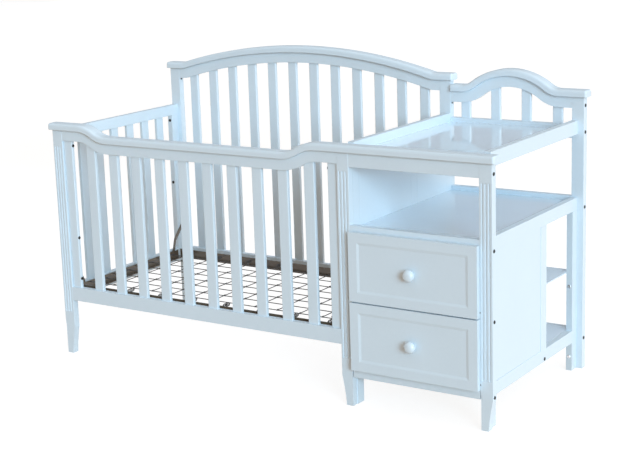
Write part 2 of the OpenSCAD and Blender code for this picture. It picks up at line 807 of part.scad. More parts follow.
// ---- mattress support ----
// Angle iron along X, upright leg at the front, flange at the bottom
module angle_x(x0, x1) {
  z = iron_top - iron_h;
  box([x0, 0, z], [x1 - x0, iron_t, iron_h]);
  box([x0, 0, z], [x1 - x0, iron_flange, iron_t]);
}
module angle_y(y0, y1) {
  z = iron_top - iron_h;
  box([0, y0, z], [iron_t, y1 - y0, iron_h]);
  box([0, y0, z], [iron_flange, y1 - y0, iron_t]);
}
module mattress_long_irons() {
  color(iron) place() {
    translate([0, iron_y, 0]) angle_x(iron_x, iron_x2);
    translate([0, iron_y2, 0]) mirror([0, 1, 0]) angle_x(iron_x, iron_x2);
  }
}
module mattress_end_irons() {
  y0 = iron_y + iron_flange;
  y1 = iron_y2 - iron_flange;
  color(iron) place() {
    translate([iron_x, 0, 0]) angle_y(y0, y1);
    translate([iron_x2, 0, 0]) mirror([1, 0, 0]) angle_y(y0, y1);
  }
}
last_row = row_y + (rows - 1) * row_pitch;
// Long wires hook on the end irons, short wires lie across them
module mattress_net() {
  color(iron) place() union() {
    for (j = [0:rows - 1]) translate([iron_x + iron_t, row_y + j * row_pitch, net_z])
      rotate([0, 90, 0]) cylinder(h = iron_x2 - iron_x - 2 * iron_t, d = wire_d, $fn = 8);
    for (i = [0:cols - 1]) translate([col_x + i * col_pitch, row_y - wire_d, net_z + wire_d * 0.7])
      rotate([-90, 0, 0]) cylinder(h = last_row - row_y + 2 * wire_d, d = wire_d, $fn = 8);
  }
}
// Centre line of a spring along Y, on its axis at both ends
coil_r = (spring_d - spring_wire) / 2;
steps = 8;
coil_l = spring_l - 18;
function coil_at(i, y0) = let(
    n = curls * steps,
    u = i / n,
    r = coil_r * min(1, 2 * u * curls, 2 * (1 - u) * curls),
    a = 360 * i / steps
  ) [r * cos(a), y0 + coil_l * u, r * sin(a)];
function coil_dir(i, y0) = let(n = curls * steps)
  i <= 0 || i >= n ? [0, 1, 0] : unit(coil_at(i + 1, y0) - coil_at(i - 1, y0));
function tube_ring(p, t, a) = let(
    e = [cos(a), 0, sin(a)],
    m = unit(e - (e * t) * t),
    k = cross(t, m)
  ) [for (j = [0:5]) p + spring_wire / 2 * (cos(60 * j) * m + sin(60 * j) * k)];
module spring(x, y0, y1) {
  n = curls * steps;
  ya = (y0 + y1 - coil_l) / 2;
  translate([x, 0, net_z]) skin(concat(
    [tube_ring([0, y0, 0], [0, 1, 0], 0)],
    [for (i = [0:n]) tube_ring(coil_at(i, ya), coil_dir(i, ya), 360 * i / steps)],
    [tube_ring([0, y1, 0], [0, 1, 0], 0)]));
}
coil_points = [for (i = [0:curls * steps]) coil_at(i, 0)];
coil_gap = min([for (i = [0:curls * steps - 6]) for (j = [i + 6:curls * steps])
  norm(coil_points[i] - coil_points[j])]) - spring_wire;
module mattress_springs() {
  echo(str("Least gap of a spring to itself: ", coil_gap, " mm"));
  color(iron) place() for (i = [0:springs - 1]) {
    x = (iron_x + iron_x2) / 2 + (i - (springs - 1) / 2) * spring_pitch;
    spring(x, iron_y + iron_t, row_y - wire_d / 2);
    spring(x, last_row + wire_d / 2, iron_y2 - iron_t);
  }
}
// Bent strap from an end iron up to the frame; it leans and ends past its bolt
strap_z = iron_top - iron_h / 2;
module strap(lean) {
  l = norm([lean, strap_rise]);
  line = [[iron_end - strap_t / 2, 0], [iron_end - strap_t / 2, strap_foot],
    [strap_t / 2, strap_knee], [strap_t / 2, l + 2 * strap_end]];
  outline = concat(beside(line, strap_t / 2), back_to_front(beside(line, -strap_t / 2)));
  translate([0, -lean, strap_z]) rotate([-atan(lean / strap_rise), 0, 0])
    translate([0, strap_w / 2, -strap_end]) rotate([90, 0, 0]) linear_extrude(strap_w)
      polygon(outline);
}
module inside_crib() {
  translate([x_in, 0, 0]) children();
  translate([x_in2, 0, 0]) mirror([1, 0, 0]) children();
}
y_strap = post_t + leg_d / 2;
y_strap_back = y_back - leg_d / 2;
module mattress_straps() {
  color(iron) place() inside_crib() {
    translate([0, y_strap_back, 0]) strap(back_lean);
    translate([0, y_strap, 0]) mirror([0, 1, 0]) strap(front_lean);
  }
}

// ---- bolts ----
// Round head with a hexagon socket, standing out along +Z
module head(d = head_d) {
  difference() {
    cylinder(h = head_h, d1 = d, d2 = d - 1);
    translate([0, 0, head_h * 0.4]) cylinder(h = head_h, d = d * 0.45, $fn = 6);
  }
}
module head_right(x, y, z, d = head_d) {
  translate([x, y, z]) rotate([0, 90, 0]) head(d);
}
module head_left(x, y, z, d = head_d) {
  translate([x, y, z]) rotate([0, -90, 0]) head(d);
}
module head_front(x, y, z, d = head_d) {
  translate([x, y, z]) rotate([90, 0, 0]) head(d);
}
bolt_in = 9;
y_bolt = y_rail + rail_t / 2;
y_bolt_back = y_rail_back + rail_t / 2;
y_stile = y_rail + slat_set + slat_t / 2;
module bolts() {
  color(iron) place() {
    // stiles to the crib's front posts
    for (z = [front_h - top_rail_h - 17, (front_h + crib_rail_z) / 2 - 73, crib_rail_top + 31]) {
      head_right(post_w + stile_w, y_stile, z);
      head_left(x_mid - stile_w, y_stile, z);
    }
    // right posts to the changer's rails
    for (z = [front_h - front_rail_h + bolt_in + 4, lip_z - rail_h + bolt_in, cross_z + cross_h / 2,
        low_rail_z + bolt_in]) head_right(total_w, y_bolt, z);
    for (z = [changer_back_h - top_rail_h + bolt_in, back_low_z + rail_h / 2,
        lip_z - rail_h + bolt_in, low_rail_z + bolt_in]) head_right(total_w, y_bolt_back, z);
    // back posts, under the curved rails
    head_right(post_w, y_bolt_back, crib_back_h - top_rail_h - screw_d, screw_d);
    head_left(x_mid, y_bolt_back, crib_back_h - top_rail_h - screw_d, screw_d);
    head_right(crib_w, y_bolt_back, changer_back_h - top_rail_h - screw_d, screw_d);
    // end frames to the back posts
    for (z = [front_h - left_top_h - 19, crib_rail_top + end_bolt_up])
      head_front(left_in + end_t / 2, y_back - leg_d, z);
    // end frame to the divider
    head_right(x_right + end_t, divider_y - divider_t / 2 - bolt_in, low_rail_z + bolt_in);
    // straps to the legs
    inside_crib() for (y = [y_strap, y_strap_back])
      translate([strap_t, y, strap_z + strap_rise]) rotate([0, 90, 0]) head();
    // smaller, bright ones in the changer's back leg
    for (z = [low_rail_z / 2, cubby_z - 46])
      head_front(x_right + end_t / 2, y_back - leg_d, z, head_d * 0.8);
  }
}

left_front_post();
middle_front_post();
right_front_post();
crib_back_posts();
changer_back_post();
front_cap();
crib_back_cap();
changer_back_cap();
crib_front_top_rail();
crib_front_bottom_rail();
crib_front_stiles();
crib_front_slats();
crib_back_top_rail();
crib_back_bottom_rail();
crib_back_slats();
left_end_stiles();
left_end_top_rail();
left_end_bottom_rail();
left_end_slats();
changer_end_legs();
changer_rim_rails();
changer_end_bottom_rails();
changer_end_stiles();
middle_end_panels();
right_end_panel();
right_end_shelf_rail();
changer_front_top_rail();
shelf_front_rail();
drawer_cross_rail();
front_bottom_rail();
changing_tray();
open_shelf();
divider_panel();
cubby_middle_shelf();
cubby_bottom_shelf();
changer_back_top_rail();
changer_back_lower_rail();
shelf_back_rail();
changer_back_bottom_rail();
changer_back_slats();
upper_drawer_front();
upper_drawer_sides();
upper_drawer_back();
upper_drawer_bottom();
upper_drawer_knob();
upper_drawer_runners();
lower_drawer_front();
lower_drawer_sides();
lower_drawer_back();
lower_drawer_bottom();
lower_drawer_knob();
lower_drawer_runners();
fixed_runners();
drawer_pads();
mattress_long_irons();
mattress_end_irons();
mattress_net();
mattress_springs();
mattress_straps();
bolts();
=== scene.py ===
"""Crib with an attached changer: finishes, wire parts, studio floor, lamps and camera."""

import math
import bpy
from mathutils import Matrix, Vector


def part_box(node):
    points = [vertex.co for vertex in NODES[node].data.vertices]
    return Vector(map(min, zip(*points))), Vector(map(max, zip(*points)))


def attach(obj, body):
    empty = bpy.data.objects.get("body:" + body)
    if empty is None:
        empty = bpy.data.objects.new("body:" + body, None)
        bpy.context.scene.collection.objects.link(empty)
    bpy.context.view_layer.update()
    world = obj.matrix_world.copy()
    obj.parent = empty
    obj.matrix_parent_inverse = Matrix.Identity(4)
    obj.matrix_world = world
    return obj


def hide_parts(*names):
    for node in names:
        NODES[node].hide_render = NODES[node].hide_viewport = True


bl_info = {
    "name": "Crib and changer dressing",
    "version": (1, 0, 0),
    "blender": (4, 5, 0),
    "location": "3D View > Sidebar > Nursery",
    "description": "Finishes the crib and changer and sets up its studio",
    "category": "Object",
}

import bmesh
import bpy
from bpy.props import (
    FloatProperty,
    FloatVectorProperty,
    IntProperty,
    PointerProperty,
)
from mathutils import Matrix, Vector

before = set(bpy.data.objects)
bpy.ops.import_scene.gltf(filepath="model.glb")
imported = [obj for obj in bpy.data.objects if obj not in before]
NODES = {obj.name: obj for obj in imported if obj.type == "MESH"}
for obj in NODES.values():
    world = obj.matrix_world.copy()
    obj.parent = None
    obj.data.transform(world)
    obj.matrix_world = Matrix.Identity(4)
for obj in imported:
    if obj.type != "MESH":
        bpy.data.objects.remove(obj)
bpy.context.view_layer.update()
BODY = "crib_and_changer"

JOINED = [
    "changer_end_legs",
    "right_end_shelf_rail",
    "changer_rim_rails",
    "changer_back_lower_rail",
    "shelf_back_rail",
]
PAINTED_ENDINGS = (
    "_post", "_posts", "_cap", "_rail", "_rails", "_stiles", "_legs", "_slats", "_panel", "_panels",
)
PAINTED = [n for n in sorted(NODES) if n.endswith(PAINTED_ENDINGS) and n not in JOINED]
BOARDS = [
    "changing_tray",
    "open_shelf",
    "cubby_middle_shelf",
    "cubby_bottom_shelf",
]
FRONTS = ["upper_drawer_front", "lower_drawer_front"]
BOX_PARTS = [
    f"{level}_drawer_{part}"
    for level in ("upper", "lower")
    for part in ("sides", "back", "bottom")
]
RUNNERS = ["upper_drawer_runners", "lower_drawer_runners", "fixed_runners"]
IRONS = ["mattress_long_irons", "mattress_end_irons", "drawer_pads"]

# Angles in degrees: sharper edges are sanded round, and stay crisp in shading
SANDED_ANGLE = 38.0
SOFT_ANGLE = 32.0
FIELD_ANGLE = 9.0
# Corners closer than this are one corner, in metres
SAME_PLACE = 1e-5

# Fibres of the wood: noise cells per metre across them and along them
FINE = 260.0
LONG = 9.0

# Profile of a knob and of a bolt head: share of the radius, and of the depth from the seat
KNOB_PROFILE = (
    (0.52, 0.0), (0.50, 0.10), (0.49, 0.19), (0.56, 0.25), (0.74, 0.32), (0.90, 0.42),
    (0.985, 0.53), (1.0, 0.62), (0.965, 0.73), (0.85, 0.85), (0.64, 0.94), (0.36, 0.985),
)
KNOB_SIDES = 40
HEAD_PROFILE = ((1.0, 0.0), (1.0, 0.25), (0.97, 0.5), (0.88, 0.8), (0.74, 0.97), (0.56, 1.0))
HEAD_SIDES = 24
# Socket of a head: share of its radius and of its height
SOCKET_SHARE = 0.46
SOCKET_FLOOR = 0.35
# Radius of a head as a share of the width of the plain head that it replaces
DARK_SHARE = 0.55
BRIGHT_SHARE = 0.75

# Bends of the net's wires at a crossing: metres along the wire, and lift in radii of the wire
LONG_BEND = ((-0.006, 0.0), (0.0, -0.35), (0.006, 0.0))
CROSS_BEND = ((-0.007, 0.6), (-0.0025, 1.75), (0.0025, 1.75), (0.007, 0.6))
CROSS_LIFT = 1.4
# Knots at the crossings: metres, then lift and thickness in radii of the net's wire
KNOT_WIDE = 0.0019
KNOT_HIGH = 0.0023
KNOT_LIFT = 0.8
KNOT_WIRE = 0.4
KNOT_STEPS = 14

# Springs: wire and wound length in metres, and how many curls an end takes to widen
SPRING_WIRE = 0.0018
SPRING_COIL = 0.030
SPRING_END = 0.6
CURL_STEPS = 16
# Eased edges of the irons, in metres
IRON_EDGE = 0.0006

# The floor's own glow where it is looked at, and its colour where it throws light back
FLOOR_GLOW = 0.855
DULL_FLOOR = (0.56, 0.42, 0.30, 1.0)
# Light of the room from its walls, its ceiling and its left side, and its share left and right
WALL_LIGHT = (0.99, 0.78, 0.60, 1.0)
CEILING_LIGHT = (0.98, 0.99, 1.02, 1.0)
LEFT_LIGHT = (0.92, 0.60, 0.36, 1.0)
ROOM_RANGE = (0.30, 1.62)
# The grey card: half its width and its height in metres, and its tint
CARD = 3.2
FELT_TINT = (0.90, 0.98, 1.08)

# Camera of the photograph: metres, then yaw, pitch and roll in radians, then shifts of the lens
CAMERA_PLACE = (2.510086, -3.796363, 1.490277)
CAMERA_TURN = (0.58976061, -0.2162896, -0.03425829)
CAMERA_SHIFT = (0.02817, -0.02422)


# ---------------------------------------------------------------- sizes and colours


class PaintSettings(bpy.types.PropertyGroup):
    """Colours and sheen of the lacquered wood"""

    colour: FloatVectorProperty(
        name="Lacquer",
        description="Colour of the sprayed lacquer on posts, rails and slats",
        default=(0.675, 0.775, 0.84),
        subtype="COLOR",
        min=0.0,
        max=1.0,
    )
    board: FloatVectorProperty(
        name="Boards",
        description="Colour of the changing board and the shelves",
        default=(0.69, 0.80, 0.89),
        subtype="COLOR",
        min=0.0,
        max=1.0,
    )
    sheen: FloatProperty(
        name="Lacquer roughness",
        description="Roughness of the lacquer on posts and rails",
        default=0.36,
        min=0.05,
        max=0.9,
        subtype="FACTOR",
    )
    gloss: FloatProperty(
        name="Board roughness",
        description="Roughness of the glossy boards",
        default=0.085,
        min=0.02,
        max=0.9,
        subtype="FACTOR",
    )
    edge: FloatProperty(
        name="Edge easing",
        description="Width of the sanded edges of the wooden pieces",
        default=0.0007,
        min=0.0002,
        max=0.003,
        unit="LENGTH",
    )


class JoinerySettings(bpy.types.PropertyGroup):
    """How far the changer's rails stand above the sizes of the plain model"""

    rim: FloatProperty(
        name="Rim rise",
        description="Rise of the two side rims",
        default=0.0035,
        min=0.0,
        max=0.01,
        precision=4,
        subtype="DISTANCE",
    )
    back: FloatProperty(
        name="Tray back rise",
        description="Rise of the rail behind the changing board",
        default=0.0032,
        min=0.0,
        max=0.01,
        precision=4,
        subtype="DISTANCE",
    )
    shelf: FloatProperty(
        name="Shelf back rise",
        description="Rise of the rail behind the open shelf",
        default=0.0028,
        min=0.0,
        max=0.01,
        precision=4,
        subtype="DISTANCE",
    )


class WireSettings(bpy.types.PropertyGroup):
    """Sizes and colours of the mattress support"""

    iron: FloatVectorProperty(
        name="Iron",
        description="Colour of the enamel on the angle irons and straps",
        default=(0.138, 0.102, 0.070),
        subtype="COLOR",
        min=0.0,
        max=1.0,
    )
    colour: FloatVectorProperty(
        name="Wire enamel",
        description="Colour of the enamel on the net and its springs",
        default=(0.036, 0.028, 0.023),
        subtype="COLOR",
        min=0.0,
        max=1.0,
    )
    wire: FloatProperty(
        name="Net wire",
        description="Diameter of the wires of the net",
        default=0.003,
        min=0.001,
        max=0.005,
        unit="LENGTH",
    )
    rows: IntProperty(
        name="Long wires",
        description="Number of wires that run the length of the crib",
        default=8,
        min=2,
        max=20,
    )
    columns: IntProperty(
        name="Cross wires",
        description="Number of wires that run from front to back",
        default=13,
        min=2,
        max=24,
    )
    first: FloatProperty(
        name="First cross wire",
        description="Distance from the left end of the net to its first cross wire",
        default=0.025,
        min=0.01,
        max=0.05,
        unit="LENGTH",
    )
    last: FloatProperty(
        name="Last cross wire",
        description="Distance from the last cross wire to the right end of the net",
        default=0.033,
        min=0.01,
        max=0.05,
        unit="LENGTH",
    )
    strap: FloatProperty(
        name="Strap width",
        description="Width of the straps as a share of the plain model's",
        default=0.62,
        min=0.3,
        max=1.0,
        subtype="FACTOR",
    )
    curls: IntProperty(
        name="Spring curls",
        description="Number of curls in each coil spring",
        default=7,
        min=4,
        max=16,
    )


class StudioSettings(bpy.types.PropertyGroup):
    """Light and camera"""

    key: FloatProperty(
        name="Key lamp",
        description="Strength of the lamp in front on the right",
        default=2.46,
        min=0.0,
        max=6.0,
    )
    fill: FloatProperty(
        name="Side lamp",
        description="Strength of the wide lamp at the right side",
        default=0.62,
        min=0.0,
        max=6.0,
    )
    sky: FloatProperty(
        name="Room light",
        description="Strength of the even light of the room",
        default=0.68,
        min=0.0,
        max=2.0,
    )
    focal: FloatProperty(
        name="Focal length",
        description="Focal length of the camera for a 36 mm wide frame",
        default=80.937,
        min=20.0,
        max=200.0,
        subtype="DISTANCE_CAMERA",
    )


# ---------------------------------------------------------------- node helpers


def new_group(name, inputs, outputs):
    """An empty shader node group with named sockets, or None if it is there already"""
    if name in bpy.data.node_groups:
        return None
    group = bpy.data.node_groups.new(name, "ShaderNodeTree")
    for title, kind, value in inputs:
        socket = group.interface.new_socket(title, in_out="INPUT", socket_type=kind)
        socket.default_value = value
    for title, kind in outputs:
        group.interface.new_socket(title, in_out="OUTPUT", socket_type=kind)
    return group


def link(tree, source, target):
    """Joins two sockets"""
    tree.links.new(source, target)


def add(tree, kind, **settings):
    """A new node with its settings"""
    node = tree.nodes.new(kind)
    for key, value in settings.items():
        setattr(node, key, value)
    return node


def math_node(tree, operation, a, b):
    """Sum, product or the like of two sockets or numbers"""
    node = add(tree, "ShaderNodeMath", operation=operation)
    for socket, value in zip(node.inputs, (a, b)):
        if isinstance(value, (int, float)):
            socket.default_value = value
        else:
            link(tree, value, socket)
    return node.outputs[0]


def noise(tree, place, scale, detail=2.0, rough=0.5):
    """Cloudy noise over a place, mostly between 0.3 and 0.7"""
    node = add(tree, "ShaderNodeTexNoise")
    node.inputs["Scale"].default_value = scale
    node.inputs["Detail"].default_value = detail
    node.inputs["Roughness"].default_value = rough
    link(tree, place, node.inputs["Vector"])
    return node.outputs["Fac"]


def remap(tree, value, low, high, to_low, to_high):
    """A value that goes from low to high, stretched to another range"""
    node = add(tree, "ShaderNodeMapRange")
    link(tree, value, node.inputs["Value"])
    node.inputs["From Min"].default_value = low
    node.inputs["From Max"].default_value = high
    for title, target in (("To Min", to_low), ("To Max", to_high)):
        if isinstance(target, (int, float)):
            node.inputs[title].default_value = target
        else:
            link(tree, target, node.inputs[title])
    return node.outputs["Result"]


def sprayed_coat_group():
    """Fine skin of a sprayed coat: soft cloudy tone, orange peel and a little dust"""
    name = "Sprayed coat"
    group = new_group(
        name,
        [
            ("Colour", "NodeSocketColor", (0.8, 0.8, 0.8, 1.0)),
            ("Roughness", "NodeSocketFloat", 0.4),
            ("Tone", "NodeSocketFloat", 0.05),
            ("Peel", "NodeSocketFloat", 0.5),
        ],
        [
            ("Colour", "NodeSocketColor"),
            ("Roughness", "NodeSocketFloat"),
            ("Height", "NodeSocketFloat"),
        ],
    )
    if group is None:
        return bpy.data.node_groups[name]
    start = add(group, "NodeGroupInput")
    end = add(group, "NodeGroupOutput")
    place = add(group, "ShaderNodeTexCoord").outputs["Object"]
    cloud = noise(group, place, 5.0, 3.0)
    speck = noise(group, place, 90.0, 2.0, 0.6)
    large, small = math_node(group, "MULTIPLY", cloud, 0.7), math_node(group, "MULTIPLY", speck, 0.3)
    tone = math_node(group, "ADD", large, small)
    dark = math_node(group, "SUBTRACT", 1.0, start.outputs["Tone"])
    level = remap(group, tone, 0.3, 0.7, dark, 1.0)
    scale = add(group, "ShaderNodeVectorMath", operation="SCALE")
    link(group, start.outputs["Colour"], scale.inputs[0])
    link(group, level, scale.inputs["Scale"])
    link(group, scale.outputs["Vector"], end.inputs["Colour"])
    shift = remap(group, cloud, 0.3, 0.7, -0.03, 0.04)
    link(group, math_node(group, "ADD", start.outputs["Roughness"], shift), end.inputs["Roughness"])
    peel = noise(group, place, 420.0, 2.0, 0.55)
    brush = noise(group, place, 60.0, 1.0)
    height = math_node(group, "ADD", peel, math_node(group, "MULTIPLY", brush, 0.8))
    link(group, math_node(group, "MULTIPLY", height, start.outputs["Peel"]), end.inputs["Height"])
    return group


def grain_group():
    """Long fibres of wood that show faintly through a coat of paint"""
    name = "Wood fibres"
    group = new_group(
        name,
        [
            ("Along X", "NodeSocketFloat", 1.0),
            ("Along Y", "NodeSocketFloat", 1.0),
            ("Along Z", "NodeSocketFloat", 1.0),
        ],
        [("Fibre", "NodeSocketFloat")],
    )
    if group is None:
        return bpy.data.node_groups[name]
    start = add(group, "NodeGroupInput")
    end = add(group, "NodeGroupOutput")
    place = add(group, "ShaderNodeTexCoord").outputs["Object"]
    pull = add(group, "ShaderNodeCombineXYZ")
    for i, title in enumerate(("Along X", "Along Y", "Along Z")):
        link(group, start.outputs[title], pull.inputs[i])
    stretch = add(group, "ShaderNodeVectorMath", operation="MULTIPLY")
    link(group, place, stretch.inputs[0])
    link(group, pull.outputs[0], stretch.inputs[1])
    link(group, noise(group, stretch.outputs[0], 1.0, 4.0, 0.6), end.inputs["Fibre"])
    return group


def looking(tree):
    """1 for the rays that see the studio: the camera's own and those off gloss or through glass"""
    path = add(tree, "ShaderNodeLightPath")
    either = math_node(tree, "MAXIMUM", path.outputs["Is Camera Ray"], path.outputs["Is Glossy Ray"])
    return math_node(tree, "MAXIMUM", either, path.outputs["Is Transmission Ray"])


def principled(name, metallic=0.0, coat=0.0, coat_roughness=0.1):
    """A fresh material and its Principled node; values that don't vary sit on its sockets"""
    material = bpy.data.materials.new(name)
    material.use_nodes = True
    tree = material.node_tree
    tree.nodes.clear()
    shader = add(tree, "ShaderNodeBsdfPrincipled")
    shader.inputs["Metallic"].default_value = metallic
    shader.inputs["Coat Weight"].default_value = coat
    shader.inputs["Coat Roughness"].default_value = coat_roughness
    output = add(tree, "ShaderNodeOutputMaterial")
    link(tree, shader.outputs[0], output.inputs["Surface"])
    return material, tree, shader


def raise_bump(tree, height, shader, depth, strength):
    """Turns a height into the shader's normal"""
    bump = add(tree, "ShaderNodeBump")
    bump.inputs["Strength"].default_value = strength
    bump.inputs["Distance"].default_value = depth
    link(tree, height, bump.inputs["Height"])
    link(tree, bump.outputs["Normal"], shader.inputs["Normal"])


def lacquer(name, colour, roughness, fibres, coat=0.25, tone=0.04, peel=0.5, strength=0.25):
    """Sprayed lacquer over wood, with the fibres running the way they are pulled"""
    if name in bpy.data.materials:
        return bpy.data.materials[name]
    material, tree, shader = principled(name, coat=coat, coat_roughness=roughness * 0.6)
    skin = add(tree, "ShaderNodeGroup", node_tree=sprayed_coat_group())
    skin.inputs["Colour"].default_value = (*colour, 1.0)
    skin.inputs["Roughness"].default_value = roughness
    skin.inputs["Tone"].default_value = tone
    skin.inputs["Peel"].default_value = peel
    wood = add(tree, "ShaderNodeGroup", node_tree=grain_group())
    for title, value in zip(("Along X", "Along Y", "Along Z"), fibres):
        wood.inputs[title].default_value = value
    link(tree, skin.outputs["Colour"], shader.inputs["Base Color"])
    link(tree, skin.outputs["Roughness"], shader.inputs["Roughness"])
    height = math_node(tree, "ADD", skin.outputs["Height"], wood.outputs["Fibre"])
    raise_bump(tree, height, shader, 0.0002, strength)
    return material


def enamel(name, colour, roughness):
    """Dipped enamel on iron and wire, a little uneven and rubbed"""
    if name in bpy.data.materials:
        return bpy.data.materials[name]
    material, tree, shader = principled(name, coat=0.4, coat_roughness=0.25)
    skin = add(tree, "ShaderNodeGroup", node_tree=sprayed_coat_group())
    skin.inputs["Colour"].default_value = (*colour, 1.0)
    skin.inputs["Roughness"].default_value = roughness
    skin.inputs["Tone"].default_value = 0.35
    skin.inputs["Peel"].default_value = 1.0
    link(tree, skin.outputs["Colour"], shader.inputs["Base Color"])
    link(tree, skin.outputs["Roughness"], shader.inputs["Roughness"])
    raise_bump(tree, skin.outputs["Height"], shader, 0.0003, 0.4)
    return material


def rolled_zinc(name, colour=(0.55, 0.57, 0.6), roughness=0.34):
    """Rolled zinc-plated sheet with fine streaks along the runner"""
    if name in bpy.data.materials:
        return bpy.data.materials[name]
    material, tree, shader = principled(name, metallic=1.0)
    skin = add(tree, "ShaderNodeGroup", node_tree=sprayed_coat_group())
    skin.inputs["Colour"].default_value = (*colour, 1.0)
    skin.inputs["Roughness"].default_value = roughness
    skin.inputs["Tone"].default_value = 0.25
    skin.inputs["Peel"].default_value = 0.4
    wood = add(tree, "ShaderNodeGroup", node_tree=grain_group())
    for title, value in zip(("Along X", "Along Y", "Along Z"), (900.0, 12.0, 900.0)):
        wood.inputs[title].default_value = value
    link(tree, skin.outputs["Colour"], shader.inputs["Base Color"])
    link(tree, skin.outputs["Roughness"], shader.inputs["Roughness"])
    raise_bump(tree, wood.outputs["Fibre"], shader, 0.0001, 0.3)
    return material


# ---------------------------------------------------------------- mesh helpers


def dress(node, material):
    """Puts one finish on a CAD node"""
    mesh = NODES[node].data
    if not mesh.materials:
        mesh.materials.append(material)
    for i in range(len(mesh.materials)):
        mesh.materials[i] = material


def ease_edges(thing, width, degrees=SOFT_ANGLE):
    """Rounds hard edges with modifiers and leaves the mesh alone"""
    weld = thing.modifiers.new("Joined corners", "WELD")
    weld.merge_threshold = SAME_PLACE
    bevel = thing.modifiers.new("Sanded edges", "BEVEL")
    bevel.width = width
    bevel.segments = 2
    bevel.limit_method = "ANGLE"
    bevel.angle_limit = math.radians(SANDED_ANGLE)
    bevel.harden_normals = False
    bevel.use_clamp_overlap = True
    soften(thing, degrees)


def soften(thing, degrees=SOFT_ANGLE):
    """Smooth shading except across edges sharper than the given angle"""
    name = "Soft shading"
    group = bpy.data.node_groups.get(name)
    if group is None:
        group = bpy.data.node_groups.new(name, "GeometryNodeTree")
        group.interface.new_socket("Geometry", in_out="INPUT", socket_type="NodeSocketGeometry")
        group.interface.new_socket("Widest angle", in_out="INPUT", socket_type="NodeSocketFloat")
        group.interface.new_socket("Geometry", in_out="OUTPUT", socket_type="NodeSocketGeometry")
        start = add(group, "NodeGroupInput")
        end = add(group, "NodeGroupOutput")
        faces = add(group, "GeometryNodeSetShadeSmooth", domain="FACE")
        edges = add(group, "GeometryNodeSetShadeSmooth", domain="EDGE")
        angle = add(group, "GeometryNodeInputMeshEdgeAngle")
        near = add(group, "ShaderNodeMath", operation="LESS_THAN")
        link(group, start.outputs["Widest angle"], near.inputs[1])
        link(group, start.outputs[0], faces.inputs["Geometry"])
        link(group, faces.outputs[0], edges.inputs["Geometry"])
        link(group, angle.outputs["Unsigned Angle"], near.inputs[0])
        link(group, near.outputs[0], edges.inputs["Shade Smooth"])
        link(group, edges.outputs[0], end.inputs[0])
    modifier = thing.modifiers.new(name, "NODES")
    modifier.node_group = group
    socket = group.interface.items_tree["Widest angle"]
    modifier[socket.identifier] = math.radians(degrees)
    flat = thing.modifiers.new("Flat faces stay flat", "WEIGHTED_NORMAL")
    flat.keep_sharp = True
    flat.weight = 100


def new_piece(name, bm, material, body, smooth=True):
    """Makes a piece from a bmesh, rides it on its body and gives it its finish"""
    mesh = bpy.data.meshes.new(name)
    bm.normal_update()
    bm.to_mesh(mesh)
    bm.free()
    for face in mesh.polygons:
        face.use_smooth = smooth
    mesh.materials.append(material)
    piece = bpy.data.objects.new(name, mesh)
    bpy.context.scene.collection.objects.link(piece)
    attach(piece, body)
    return piece


def stage_piece(name, bm, material):
    """Makes a thing of the studio, which is no part of the furniture"""
    mesh = bpy.data.meshes.new(name)
    bm.to_mesh(mesh)
    bm.free()
    mesh.materials.append(material)
    thing = bpy.data.objects.new(name, mesh)
    bpy.context.scene.collection.objects.link(thing)
    return thing


def spread(first, last, count):
    """Even steps from first to last"""
    return [first + (last - first) * i / (count - 1) for i in range(count)]


def corners(points):
    """Lowest and highest corner of some points"""
    return (
        Vector(min(p[i] for p in points) for i in range(3)),
        Vector(max(p[i] for p in points) for i in range(3)),
    )


def join_rings(bm, rings):
    """Lays a skin from each ring to the next; all have as many points"""
    for a, b in zip(rings, rings[1:]):
        for j in range(len(a)):
            k = (j + 1) % len(a)
            bm.faces.new((a[j], a[k], b[k], b[j]))


def turned_ring(bm, place, radii, height):
    """A ring around the Z axis of a place, with one radius for each of its points"""
    ring = []
    for j, radius in enumerate(radii):
        turn = 2 * math.pi * j / len(radii)
        ring.append(bm.verts.new(place @ Vector((radius * math.cos(turn), radius * math.sin(turn), height))))
    return ring


def sweep(bm, points, radius, sides=8, closed=False):
    """Adds a round wire that follows points"""
    count = len(points)
    rings = []
    normal = None
    for i, point in enumerate(points):
        ahead = points[(i + 1) % count] if closed else points[min(i + 1, count - 1)]
        behind = points[(i - 1) % count] if closed else points[max(i - 1, 0)]
        along = (ahead - behind).normalized()
        if normal is None:
            guess = Vector((0, 0, 1)) if abs(along.z) < 0.9 else Vector((1, 0, 0))
            normal = along.cross(guess).normalized()
        normal = (normal - along * normal.dot(along)).normalized()
        other = along.cross(normal)
        ring = []
        for j in range(sides):
            turn = 2 * math.pi * j / sides
            ring.append(bm.verts.new(point + radius * (math.cos(turn) * normal + math.sin(turn) * other)))
        rings.append(ring)
    if closed:
        join_rings(bm, [*rings, rings[0]])
    else:
        join_rings(bm, rings)
        bm.faces.new(list(reversed(rings[0])))
        bm.faces.new(rings[-1])


def prism(bm, outline, x0, x1):
    """Adds a bar along X whose section is an outline of (y, z) points"""
    ends = [[bm.verts.new((x, y, z)) for y, z in outline] for x in (x0, x1)]
    join_rings(bm, ends)
    bm.faces.new(list(reversed(ends[0])))
    bm.faces.new(ends[1])


def bar(bm, lo, hi):
    """Adds a square bar between two corners"""
    prism(bm, ((lo[1], lo[2]), (hi[1], lo[2]), (hi[1], hi[2]), (lo[1], hi[2])), lo[0], hi[0])


